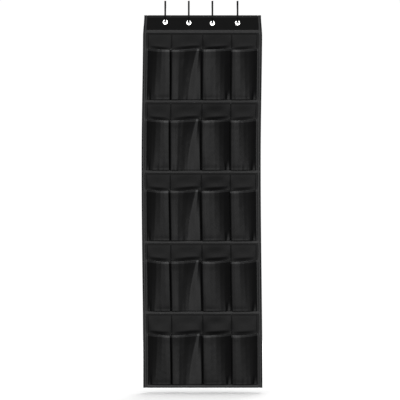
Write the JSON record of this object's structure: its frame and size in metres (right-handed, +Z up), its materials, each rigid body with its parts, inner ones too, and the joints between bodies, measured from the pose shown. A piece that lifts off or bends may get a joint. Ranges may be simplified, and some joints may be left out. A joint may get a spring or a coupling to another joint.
{
  "type": "shoe organizer",
  "caption": "Over-the-door hanging shoe organizer: black cloth panel with rows of open-topped pockets, hung from flat steel hooks through grommets.",
  "frame": {"origin": "on the door's top edge at its front corner, midway along the organizer: Z = 0 is the door's top under the hooks' top bars, Y = 0 is the door face behind the hooks' stems", "axes": "+X to the right across the width seen from the front, +Y back into the door so the pockets face -Y, +Z up"},
  "size_m": [0.478, 0.0938, 1.5535],
  "materials": {
    "panel_cloth": "matte embossed non-woven polypropylene cloth",
    "binding_tape": "folded non-woven tape with a faint sheen",
    "grommet_nickel": "bright nickel plate",
    "hook_enamel": "semi-gloss black enamel on steel strip"
  },
  "bodies": {
    "header": {"back_panel_header": "panel_cloth", "header_band": "panel_cloth", "header_trim": "binding_tape", "top_binding": "binding_tape", "side_binding_header_left": "binding_tape", "side_binding_header_right": "binding_tape", "grommet_1": "grommet_nickel", "grommet_2": "grommet_nickel", "grommet_3": "grommet_nickel", "grommet_4": "grommet_nickel", "grommet_washer_1": "grommet_nickel", "grommet_washer_2": "grommet_nickel", "grommet_washer_3": "grommet_nickel", "grommet_washer_4": "grommet_nickel"},
    "hook_1": {"hook_1": "hook_enamel"},
    "hook_2": {"hook_2": "hook_enamel"},
    "hook_3": {"hook_3": "hook_enamel"},
    "hook_4": {"hook_4": "hook_enamel"},
    "row_1": {"back_panel_row_1": "panel_cloth", "pocket_strip_row_1": "panel_cloth", "mouth_binding_row_1": "binding_tape", "trim_row_1": "binding_tape", "side_binding_left_row_1": "binding_tape", "side_binding_right_row_1": "binding_tape"},
    "row_2": {"back_panel_row_2": "panel_cloth", "pocket_strip_row_2": "panel_cloth", "mouth_binding_row_2": "binding_tape", "trim_row_2": "binding_tape", "side_binding_left_row_2": "binding_tape", "side_binding_right_row_2": "binding_tape"},
    "row_3": {"back_panel_row_3": "panel_cloth", "pocket_strip_row_3": "panel_cloth", "mouth_binding_row_3": "binding_tape", "trim_row_3": "binding_tape", "side_binding_left_row_3": "binding_tape", "side_binding_right_row_3": "binding_tape"},
    "row_4": {"back_panel_row_4": "panel_cloth", "pocket_strip_row_4": "panel_cloth", "mouth_binding_row_4": "binding_tape", "trim_row_4": "binding_tape", "side_binding_left_row_4": "binding_tape", "side_binding_right_row_4": "binding_tape"},
    "row_5": {"back_panel_row_5": "panel_cloth", "pocket_strip_row_5": "panel_cloth", "mouth_binding_row_5": "binding_tape", "bottom_binding": "binding_tape", "side_binding_left_row_5": "binding_tape", "side_binding_right_row_5": "binding_tape"}
  },
  "joints": [
    {"name": "hook_1_swivel", "type": "hinge", "parent": "header", "child": "hook_1", "pos_m": [-0.1476, 0, -0.0842], "axis": [0, 1, 0], "range_deg": [-90, 90]},
    {"name": "hook_2_swivel", "type": "hinge", "parent": "header", "child": "hook_2", "pos_m": [-0.053, 0, -0.0868], "axis": [0, 1, 0], "range_deg": [-90, 90]},
    {"name": "hook_3_swivel", "type": "hinge", "parent": "header", "child": "hook_3", "pos_m": [0.0418, 0, -0.0886], "axis": [0, 1, 0], "range_deg": [-90, 90]},
    {"name": "hook_4_swivel", "type": "hinge", "parent": "header", "child": "hook_4", "pos_m": [0.1429, 0, -0.0874], "axis": [0, 1, 0], "range_deg": [-90, 90]},
    {"name": "seam_fold_1", "type": "hinge", "parent": "header", "child": "row_1", "pos_m": [0, -0.0049, -0.1318], "axis": [1, 0, 0], "range_deg": [-90, 90]},
    {"name": "seam_fold_2", "type": "hinge", "parent": "row_1", "child": "row_2", "pos_m": [0, -0.0049, -0.4114], "axis": [-1, 0, 0], "range_deg": [-90, 90]},
    {"name": "seam_fold_3", "type": "hinge", "parent": "row_2", "child": "row_3", "pos_m": [0, -0.0049, -0.6942], "axis": [1, 0, 0], "range_deg": [-90, 90]},
    {"name": "seam_fold_4", "type": "hinge", "parent": "row_3", "child": "row_4", "pos_m": [0, -0.0049, -0.977], "axis": [-1, 0, 0], "range_deg": [-90, 90]},
    {"name": "seam_fold_5", "type": "hinge", "parent": "row_4", "child": "row_5", "pos_m": [0, -0.0049, -1.2598], "axis": [1, 0, 0], "range_deg": [-90, 90]}
  ]
}
